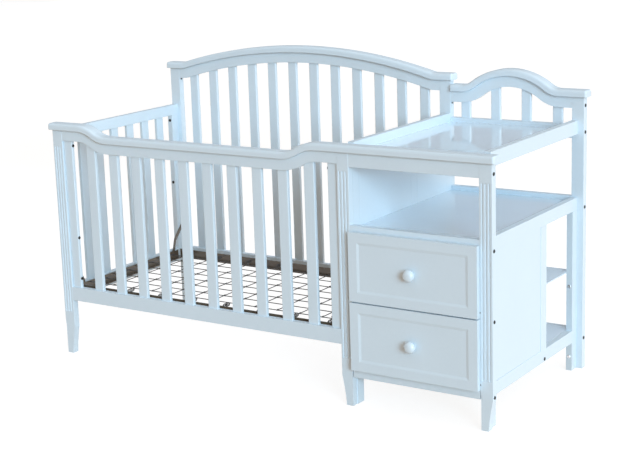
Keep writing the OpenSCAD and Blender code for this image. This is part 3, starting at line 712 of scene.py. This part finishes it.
def islands(mesh):
    """Lists of vertex places, one list for each loose part, welded by place"""
    key = {}
    parent = []

    def root(i):
        while parent[i] != i:
            parent[i] = parent[parent[i]]
            i = parent[i]
        return i

    index = []
    for v in mesh.vertices:
        k = (round(v.co.x, 5), round(v.co.y, 5), round(v.co.z, 5))
        if k not in key:
            key[k] = len(parent)
            parent.append(len(parent))
        index.append(key[k])
    for p in mesh.polygons:
        first = root(index[p.vertices[0]])
        for i in p.vertices[1:]:
            parent[root(index[i])] = first
            first = root(first)
    groups = {}
    for v in mesh.vertices:
        groups.setdefault(root(index[v.index]), []).append(v.co.copy())
    return list(groups.values())


# ---------------------------------------------------------------- the frame and the boards


def frame_finishes(paint):
    """The same lacquer with its fibres upright, along the rails and along the ends"""
    return (
        lacquer("Lacquer on uprights", paint.colour, paint.sheen, (FINE, FINE, LONG)),
        lacquer("Lacquer on rails", paint.colour, paint.sheen, (LONG, FINE, FINE)),
        lacquer("Lacquer on end rails", paint.colour, paint.sheen, (FINE, LONG, FINE)),
    )


class NURSERY_OT_paint_frame(bpy.types.Operator):
    """Lacquer the posts, legs, rails, slats, panels and caps"""

    bl_idname = "nursery.paint_frame"
    bl_label = "Paint the frame"

    def execute(self, context):
        paint = context.scene.nursery_paint
        upright, level, deep = frame_finishes(paint)
        for node in PAINTED:
            lo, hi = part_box(node)
            if node.endswith(("_cap", "_rail", "_rails")):
                size = hi - lo
                ends = node.startswith(("left_end", "right_end", "changer_end", "changer_rim"))
                dress(node, deep if ends or size.y > size.x else level)
            else:
                dress(node, upright)
            if node.endswith("_cap"):
                soften(NODES[node])
            else:
                ease_edges(NODES[node], paint.edge)
        return {"FINISHED"}


class NURSERY_OT_join_ends(bpy.types.Operator):
    """Join the changer's end legs, shelf rails and rims, with short legs on the right"""

    bl_idname = "nursery.join_ends"
    bl_label = "Join the ends"

    def execute(self, context):
        paint = context.scene.nursery_paint
        rises = context.scene.nursery_joinery
        upright, level, deep = frame_finishes(paint)
        leg_lo, leg_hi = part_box("changer_end_legs")
        top_lo, top_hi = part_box("right_end_shelf_rail")
        rim_lo, rim_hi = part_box("changer_rim_rails")
        cap_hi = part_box("front_cap")[1]
        thick = top_hi.x - top_lo.x
        wide = top_lo.y - leg_lo.y
        under_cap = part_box("right_front_post")[1].z

        legs = bmesh.new()
        for x, top in ((leg_lo.x, leg_hi.z), (top_lo.x, top_lo.z)):
            for y in (leg_lo.y, leg_hi.y - wide):
                bar(legs, (x, y, leg_lo.z), (x + thick, y + wide, top))

        shelf_end = bmesh.new()
        bar(shelf_end, (top_lo.x, leg_lo.y, top_lo.z), (top_hi.x, leg_hi.y, top_hi.z))

        # The front end of a rim is let in under the cap
        rims = bmesh.new()
        top = rim_hi.z + rises.rim
        outline = (
            (rim_lo.y, rim_lo.z), (rim_hi.y, rim_lo.z), (rim_hi.y, top),
            (cap_hi.y, top), (cap_hi.y, under_cap), (rim_lo.y, under_cap),
        )
        for x in (rim_lo.x, rim_hi.x - thick):
            prism(rims, outline, x, x + thick)

        backs = []
        for node, rise in (("changer_back_lower_rail", rises.back), ("shelf_back_rail", rises.shelf)):
            lo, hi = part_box(node)
            rail = bmesh.new()
            bar(rail, lo, (hi.x, hi.y, hi.z + rise))
            backs.append((f"raised_{node}", rail, level, node))

        for name, bm, finish, node in (
            ("end_legs", legs, upright, "changer_end_legs"),
            ("long_shelf_rail", shelf_end, deep, "right_end_shelf_rail"),
            ("raised_rims", rims, deep, "changer_rim_rails"),
            *backs,
        ):
            bmesh.ops.recalc_face_normals(bm, faces=bm.faces)
            piece = new_piece(name, bm, finish, BODY, smooth=False)
            ease_edges(piece, paint.edge)
            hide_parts(node)
        return {"FINISHED"}


class NURSERY_OT_lay_boards(bpy.types.Operator):
    """Give the changing board and the shelves their gloss"""

    bl_idname = "nursery.lay_boards"
    bl_label = "Lay the boards"

    def execute(self, context):
        paint = context.scene.nursery_paint
        gloss = lacquer(
            "Glossy board", paint.board, paint.gloss, (14.0, 40.0, 40.0), coat=1.0, tone=0.03,
            peel=0.3, strength=0.02,
        )
        for node in BOARDS:
            dress(node, gloss)
            ease_edges(NODES[node], paint.edge * 0.7)
        return {"FINISHED"}


# ---------------------------------------------------------------- the drawers


class NURSERY_OT_finish_drawers(bpy.types.Operator):
    """Lacquer the drawer fronts and paint the drawer boxes"""

    bl_idname = "nursery.finish_drawers"
    bl_label = "Finish the drawers"

    def execute(self, context):
        paint = context.scene.nursery_paint
        front = lacquer("Lacquer on drawer fronts", paint.colour, paint.sheen, (LONG, FINE, FINE))
        inside = lacquer(
            "Matt drawer box", [c * 0.97 for c in paint.colour], 0.6, (120.0, LONG, 120.0), coat=0.0
        )
        for node in FRONTS:
            dress(node, front)
            ease_edges(NODES[node], paint.edge * 0.7, degrees=FIELD_ANGLE)
        for node in BOX_PARTS:
            dress(node, inside)
            ease_edges(NODES[node], paint.edge * 0.5)
        return {"FINISHED"}


def ball_knob(lo, hi):
    """A knob turned about Y that fills a box, from its seat at the back to its tip in front"""
    centre = (lo + hi) / 2
    radius = (hi.x - lo.x) / 2
    depth = hi.y - lo.y
    seat = Matrix.Translation((centre.x, hi.y, centre.z)) @ Matrix.Rotation(math.pi / 2, 4, "X")
    bm = bmesh.new()
    rings = [
        turned_ring(bm, seat, [radius * share] * KNOB_SIDES, depth * out) for share, out in KNOB_PROFILE
    ]
    join_rings(bm, rings)
    tip = bm.verts.new((centre.x, lo.y, centre.z))
    for j in range(KNOB_SIDES):
        bm.faces.new((rings[-1][j], rings[-1][(j + 1) % KNOB_SIDES], tip))
    bm.faces.new(list(reversed(rings[0])))
    bmesh.ops.recalc_face_normals(bm, faces=bm.faces)
    return bm


class NURSERY_OT_turn_knobs(bpy.types.Operator):
    """Turn the two wooden knobs"""

    bl_idname = "nursery.turn_knobs"
    bl_label = "Turn the knobs"

    def execute(self, context):
        paint = context.scene.nursery_paint
        glaze = lacquer("Lacquer on knobs", paint.colour, paint.sheen * 0.7, (60.0, 60.0, 60.0), coat=0.5)
        for level in ("upper", "lower"):
            bm = ball_knob(*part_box(f"{level}_drawer_knob"))
            knob = new_piece(f"{level}_ball_knob", bm, glaze, f"{level}_drawer")
            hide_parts(f"{level}_drawer_knob")
        return {"FINISHED"}


# ---------------------------------------------------------------- the mattress support


def tie_knot(bm, centre, radius):
    """Adds a small slanting loop of wire around a crossing of the net"""
    loop = []
    for i in range(KNOT_STEPS):
        turn = 2 * math.pi * i / KNOT_STEPS
        across = KNOT_WIDE * math.sin(turn)
        loop.append(centre + Vector((KNOT_WIDE * math.cos(turn), across, KNOT_HIGH * math.sin(turn))))
    sweep(bm, loop, radius, 6, closed=True)


class NURSERY_OT_weave_net(bpy.types.Operator):
    """Weave the wire net of the mattress support, with a small knot at each crossing"""

    bl_idname = "nursery.weave_net"
    bl_label = "Weave the net"

    def execute(self, context):
        wires = context.scene.nursery_wire
        black = enamel("Black enamel on wire", wires.colour, 0.4)
        lo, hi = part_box("mattress_net")
        radius = wires.wire / 2
        z = lo.z + radius
        row_y = spread(lo.y + wires.wire, hi.y - wires.wire, wires.rows)
        col_x = spread(lo.x + wires.first, hi.x - wires.last, wires.columns)
        bm = bmesh.new()
        for y in row_y:
            bends = [Vector((x + step, y, z + radius * lift)) for x in col_x for step, lift in LONG_BEND]
            sweep(bm, [Vector((lo.x, y, z)), *bends, Vector((hi.x, y, z))], radius)
        over = z + radius * CROSS_LIFT
        for x in col_x:
            bends = [Vector((x, y + step, z + radius * lift)) for y in row_y for step, lift in CROSS_BEND]
            sweep(bm, [Vector((x, lo.y, over)), *bends, Vector((x, hi.y, over))], radius)
        for x in col_x:
            for y in row_y:
                tie_knot(bm, Vector((x, y, z + radius * KNOT_LIFT)), radius * KNOT_WIRE)
        net = new_piece("wire_net", bm, black, BODY)
        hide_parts("mattress_net")
        return {"FINISHED"}


def spring_line(lo, hi, curls):
    """Middle line of a spring along Y that fills a box, with its ends on its axis"""
    centre = (lo + hi) / 2
    radius = (hi.z - lo.z) / 2 - SPRING_WIRE / 2
    first = centre.y - SPRING_COIL / 2
    total = curls * CURL_STEPS
    widening = CURL_STEPS * SPRING_END
    line = [Vector((centre.x, lo.y, centre.z))]
    for i in range(total + 1):
        turn = 2 * math.pi * i / CURL_STEPS
        wide = radius * min(1.0, i / widening, (total - i) / widening)
        line.append(Vector((
            centre.x + wide * math.cos(turn),
            first + SPRING_COIL * i / total,
            centre.z + wide * math.sin(turn),
        )))
    line.append(Vector((centre.x, hi.y, centre.z)))
    return line


class NURSERY_OT_wind_springs(bpy.types.Operator):
    """Wind the coil springs between the net and the long irons"""

    bl_idname = "nursery.wind_springs"
    bl_label = "Wind the springs"

    def execute(self, context):
        wires = context.scene.nursery_wire
        black = enamel("Black enamel on springs", wires.colour, 0.34)
        for number, points in enumerate(islands(NODES["mattress_springs"].data)):
            bm = bmesh.new()
            sweep(bm, spring_line(*corners(points), wires.curls), SPRING_WIRE / 2)
            spring = new_piece(f"coil_spring_{number + 1}", bm, black, BODY)
            if number == 0:
                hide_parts("mattress_springs")
        return {"FINISHED"}


def slim_strap(verts, share):
    """Narrows a leaning strap about its own middle line"""
    centre = sum((v.co for v in verts), Vector()) / len(verts)
    offsets = [v.co - centre for v in verts]
    lean = sum(o.y * o.z for o in offsets) / sum(o.z * o.z for o in offsets)
    across = Vector((0.0, 1.0, -lean)).normalized()
    for v, offset in zip(verts, offsets):
        v.co -= (1.0 - share) * offset.dot(across) * across


class NURSERY_OT_dress_irons(bpy.types.Operator):
    """Enamel the angle irons and slim straps and plate the drawer runners"""

    bl_idname = "nursery.dress_irons"
    bl_label = "Dress the irons"

    def execute(self, context):
        wires = context.scene.nursery_wire
        brown = enamel("Brown enamel on irons", wires.iron, 0.24)
        for node in IRONS:
            dress(node, brown)
            ease_edges(NODES[node], IRON_EDGE)

        straps = bmesh.new()
        straps.from_mesh(NODES["mattress_straps"].data)
        lo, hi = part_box("mattress_straps")
        middle = (lo + hi) / 2
        quarters = {}
        for v in straps.verts:
            quarters.setdefault((v.co.x > middle.x, v.co.y > middle.y), []).append(v)
        for verts in quarters.values():
            slim_strap(verts, wires.strap)
        slim = new_piece("slim_straps", straps, brown, BODY, smooth=False)
        ease_edges(slim, IRON_EDGE)
        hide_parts("mattress_straps")

        zinc = rolled_zinc("Zinc on runners")
        for node in RUNNERS:
            dress(node, zinc)
            soften(NODES[node])
        return {"FINISHED"}


# ---------------------------------------------------------------- the bolts


def bolt_seat(points, size):
    """Matrix that sets a head on its seat, with Z the way that it stands out"""
    lo, hi = corners(points)
    axis = min(range(3), key=lambda i: size[i])
    centre = (lo + hi) / 2
    low = [p for p in points if p[axis] < centre[axis]]
    high = [p for p in points if p[axis] >= centre[axis]]
    low_reach, high_reach = (max((p - centre).length for p in side) for side in (low, high))
    out = Vector((0, 0, 0))
    out[axis] = 1.0 if low_reach > high_reach else -1.0
    centre[axis] = lo[axis] if out[axis] > 0 else hi[axis]
    turn = Vector((0, 0, 1)).rotation_difference(out).to_matrix().to_4x4()
    return Matrix.Translation(centre) @ turn


def bolt_head(bm, seat, radius, height):
    """Adds a domed head with a hexagon socket"""
    rings = [
        turned_ring(bm, seat, [radius * share] * HEAD_SIDES, height * up) for share, up in HEAD_PROFILE
    ]
    socket = []
    for j in range(HEAD_SIDES):
        off_flat = (2 * math.pi * j / HEAD_SIDES) % (math.pi / 3) - math.pi / 6
        socket.append(radius * SOCKET_SHARE * math.cos(math.pi / 6) / math.cos(off_flat))
    for level in (1.0, SOCKET_FLOOR):
        rings.append(turned_ring(bm, seat, socket, height * level))
    join_rings(bm, rings)
    bm.faces.new(rings[-1])
    bm.faces.new(list(reversed(rings[0])))


class NURSERY_OT_fit_bolts(bpy.types.Operator):
    """Fit domed bolt heads with a hexagon socket"""

    bl_idname = "nursery.fit_bolts"
    bl_label = "Fit the bolts"

    def execute(self, context):
        wires = context.scene.nursery_wire
        black = enamel("Black bolts", [c * 0.1 for c in wires.colour], 0.55)
        zinc = rolled_zinc("Bright zinc on bolts", (0.93, 0.95, 0.97), 0.2)
        dark, bright = bmesh.new(), bmesh.new()
        right_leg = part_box("right_end_shelf_rail")[0].x
        for points in islands(NODES["bolts"].data):
            lo, hi = corners(points)
            size = hi - lo
            in_leg = lo.x > right_leg and size.y < min(size.x, size.z)
            bm, share = (bright, BRIGHT_SHARE) if in_leg else (dark, DARK_SHARE)
            bolt_head(bm, bolt_seat(points, size), max(size) * share, min(size))
        for name, bm, finish, slot in (
            ("bolt_heads", dark, black, "dark_iron"),
            ("bright_bolt_heads", bright, zinc, "runner_steel"),
        ):
            bmesh.ops.recalc_face_normals(bm, faces=bm.faces)
            bolts = new_piece(name, bm, finish, BODY, smooth=False)
            soften(bolts)
            if bm is dark:
                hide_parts("bolts")
        return {"FINISHED"}


# ---------------------------------------------------------------- the studio


def lay_floor():
    """White where it is looked at, with the furniture's shadow, and dull where it only throws light back"""
    material, tree, shader = principled("Pale studio floor")
    shader.inputs["Roughness"].default_value = 0.9
    shader.inputs["Specular IOR Level"].default_value = 0.1
    place = add(tree, "ShaderNodeTexCoord").outputs["Object"]
    cloud = remap(tree, noise(tree, place, 1.5, 3.0), 0.3, 0.7, 0.27, 0.29)
    pale = add(tree, "ShaderNodeCombineColor")
    for i in range(3):
        link(tree, cloud, pale.inputs[i])
    link(tree, pale.outputs[0], shader.inputs["Base Color"])
    glow = add(tree, "ShaderNodeEmission")
    glow.inputs["Color"].default_value = (1.0, 1.0, 1.0, 1.0)
    glow.inputs["Strength"].default_value = FLOOR_GLOW
    both = add(tree, "ShaderNodeAddShader")
    link(tree, shader.outputs[0], both.inputs[0])
    link(tree, glow.outputs[0], both.inputs[1])
    dull = add(tree, "ShaderNodeBsdfDiffuse")
    dull.inputs["Color"].default_value = DULL_FLOOR
    seen = add(tree, "ShaderNodeMixShader")
    link(tree, looking(tree), seen.inputs["Fac"])
    link(tree, dull.outputs[0], seen.inputs[1])
    link(tree, both.outputs[0], seen.inputs[2])
    output = next(n for n in tree.nodes if n.type == "OUTPUT_MATERIAL")
    link(tree, seen.outputs[0], output.inputs["Surface"])

    bm = bmesh.new()
    bmesh.ops.create_grid(bm, x_segments=8, y_segments=8, size=14.0)
    floor = stage_piece("studio_floor", bm, material)
    floor.location = (0.0, 4.0, -0.0005)


def light_room(strength):
    """White where it is looked at; its light is cooler from above and warm and weak from the left"""
    world = bpy.data.worlds.new("Studio")
    bpy.context.scene.world = world
    world.use_nodes = True
    tree = world.node_tree
    tree.nodes.clear()
    way = add(tree, "ShaderNodeSeparateXYZ")
    link(tree, add(tree, "ShaderNodeTexCoord").outputs["Generated"], way.inputs[0])
    upwards = add(tree, "ShaderNodeMix", data_type="RGBA")
    upwards.inputs["A"].default_value = WALL_LIGHT
    upwards.inputs["B"].default_value = CEILING_LIGHT
    link(tree, remap(tree, way.outputs["Z"], 0.1, 0.9, 0.0, 1.0), upwards.inputs["Factor"])
    sideways = add(tree, "ShaderNodeMix", data_type="RGBA")
    sideways.inputs["A"].default_value = LEFT_LIGHT
    link(tree, upwards.outputs["Result"], sideways.inputs["B"])
    link(tree, remap(tree, way.outputs["X"], -0.7, 0.1, 0.0, 1.0), sideways.inputs["Factor"])
    room = add(tree, "ShaderNodeBackground")
    link(tree, sideways.outputs["Result"], room.inputs["Color"])
    from_left, from_right = ROOM_RANGE
    share = remap(tree, way.outputs["X"], -0.8, 0.8, from_left, from_right)
    link(tree, math_node(tree, "MULTIPLY", share, strength), room.inputs["Strength"])
    white = add(tree, "ShaderNodeBackground")
    white.inputs["Color"].default_value = (1.0, 1.0, 1.0, 1.0)
    white.inputs["Strength"].default_value = 1.0
    either = add(tree, "ShaderNodeMixShader")
    link(tree, looking(tree), either.inputs["Fac"])
    link(tree, room.outputs[0], either.inputs[1])
    link(tree, white.outputs[0], either.inputs[2])
    output = add(tree, "ShaderNodeOutputWorld")
    link(tree, either.outputs[0], output.inputs["Surface"])


def hang_lamp(title, power, way, soft, tint):
    """A lamp that shines from a direction, soft degrees wide"""
    lamp = bpy.data.lights.new(title, "SUN")
    lamp.energy = power
    lamp.angle = math.radians(soft)
    lamp.color = tint
    thing = bpy.data.objects.new(title, lamp)
    thing.rotation_mode = "QUATERNION"
    thing.rotation_quaternion = Vector(way).to_track_quat("Z", "Y")
    bpy.context.scene.collection.objects.link(thing)


def stand_card():
    """A grey card behind the piece keeps the glossy boards from mirroring a white room"""
    material, tree, shader = principled("Grey felt")
    shader.inputs["Roughness"].default_value = 0.9
    place = add(tree, "ShaderNodeTexCoord").outputs["Object"]
    height = add(tree, "ShaderNodeSeparateXYZ")
    link(tree, place, height.inputs[0])
    fade = remap(tree, height.outputs["Z"], 0.7, 1.05, 0.60, 0.46)
    nap = remap(tree, noise(tree, place, 40.0, 3.0), 0.3, 0.7, 0.97, 1.03)
    felt = math_node(tree, "MULTIPLY", fade, nap)
    tone = add(tree, "ShaderNodeCombineColor")
    for i, share in enumerate(FELT_TINT):
        link(tree, math_node(tree, "MULTIPLY", felt, share), tone.inputs[i])
    link(tree, tone.outputs[0], shader.inputs["Base Color"])

    bm = bmesh.new()
    for x, z in ((-CARD, 0.0), (CARD, 0.0), (CARD, CARD), (-CARD, CARD)):
        bm.verts.new((x, 0.0, z))
    bm.faces.new(bm.verts)
    card = stage_piece("grey_card", bm, material)
    card.location = (-0.95, 2.6, 0.35)
    card.rotation_euler = (0.0, 0.0, 0.5)
    card.visible_camera = False


def place_camera(focal):
    """Camera of the photograph, from its heading, tilt and roll"""
    yaw, pitch, roll = CAMERA_TURN
    ahead = Vector((
        -math.sin(yaw) * math.cos(pitch), math.cos(yaw) * math.cos(pitch), math.sin(pitch)
    ))
    flat = Vector((math.cos(yaw), math.sin(yaw), 0.0))
    over = flat.cross(ahead)
    right = math.cos(roll) * flat + math.sin(roll) * over
    up = math.cos(roll) * over - math.sin(roll) * flat
    lens = bpy.data.cameras.new("Photo camera")
    lens.lens = focal
    lens.sensor_width = 36.0
    lens.shift_x, lens.shift_y = CAMERA_SHIFT
    lens.clip_start = 0.1
    lens.clip_end = 100.0
    camera = bpy.data.objects.new("Photo camera", lens)
    x, y, z = CAMERA_PLACE
    camera.matrix_world = Matrix((
        (right.x, up.x, -ahead.x, x),
        (right.y, up.y, -ahead.y, y),
        (right.z, up.z, -ahead.z, z),
        (0.0, 0.0, 0.0, 1.0),
    ))
    bpy.context.scene.collection.objects.link(camera)
    bpy.context.scene.camera = camera


class NURSERY_OT_set_stage(bpy.types.Operator):
    """Lay the floor, hang the lamps and place the camera"""

    bl_idname = "nursery.set_stage"
    bl_label = "Set the stage"

    def execute(self, context):
        studio = context.scene.nursery_studio
        context.scene.view_settings.view_transform = "Standard"
        lay_floor()
        light_room(studio.sky)
        hang_lamp("Key lamp", studio.key, (0.76, -0.6, 0.25), 24.0, (0.545, 0.80, 1.0))
        hang_lamp("Side lamp", studio.fill, (1.0, 0.2, 0.15), 70.0, (0.62, 0.82, 1.0))
        stand_card()
        place_camera(studio.focal)
        return {"FINISHED"}


STEPS = (
    NURSERY_OT_paint_frame,
    NURSERY_OT_join_ends,
    NURSERY_OT_lay_boards,
    NURSERY_OT_finish_drawers,
    NURSERY_OT_turn_knobs,
    NURSERY_OT_weave_net,
    NURSERY_OT_wind_springs,
    NURSERY_OT_dress_irons,
    NURSERY_OT_fit_bolts,
    NURSERY_OT_set_stage,
)


class NURSERY_PT_sidebar(bpy.types.Panel):
    """Sizes, colours and making steps of the crib and changer"""

    bl_idname = "NURSERY_PT_sidebar"
    bl_label = "Crib and changer"
    bl_space_type = "VIEW_3D"
    bl_region_type = "UI"
    bl_category = "Nursery"

    def draw(self, context):
        layout = self.layout
        for name in ("nursery_paint", "nursery_joinery", "nursery_wire", "nursery_studio"):
            group = getattr(context.scene, name)
            column = layout.column(align=True)
            for key in group.__annotations__:
                column.prop(group, key)
        for step in STEPS:
            layout.operator(step.bl_idname)


SETTINGS = (PaintSettings, JoinerySettings, WireSettings, StudioSettings)
CLASSES = (*SETTINGS, *STEPS, NURSERY_PT_sidebar)


def register():
    """Registers the classes and gives every scene its settings"""
    for cls in CLASSES:
        bpy.utils.register_class(cls)
    bpy.types.Scene.nursery_paint = PointerProperty(type=PaintSettings)
    bpy.types.Scene.nursery_joinery = PointerProperty(type=JoinerySettings)
    bpy.types.Scene.nursery_wire = PointerProperty(type=WireSettings)
    bpy.types.Scene.nursery_studio = PointerProperty(type=StudioSettings)


def unregister():
    """Takes the settings and the classes away again"""
    del bpy.types.Scene.nursery_studio
    del bpy.types.Scene.nursery_wire
    del bpy.types.Scene.nursery_joinery
    del bpy.types.Scene.nursery_paint
    for cls in reversed(CLASSES):
        bpy.utils.unregister_class(cls)


def main():
    """Makes every step in order"""
    register()
    bpy.ops.nursery.paint_frame()
    bpy.ops.nursery.join_ends()
    bpy.ops.nursery.lay_boards()
    bpy.ops.nursery.finish_drawers()
    bpy.ops.nursery.turn_knobs()
    bpy.ops.nursery.weave_net()
    bpy.ops.nursery.wind_springs()
    bpy.ops.nursery.dress_irons()
    bpy.ops.nursery.fit_bolts()
    bpy.ops.nursery.set_stage()
    bpy.context.view_layer.update()


if __name__ == "__main__":
    main()
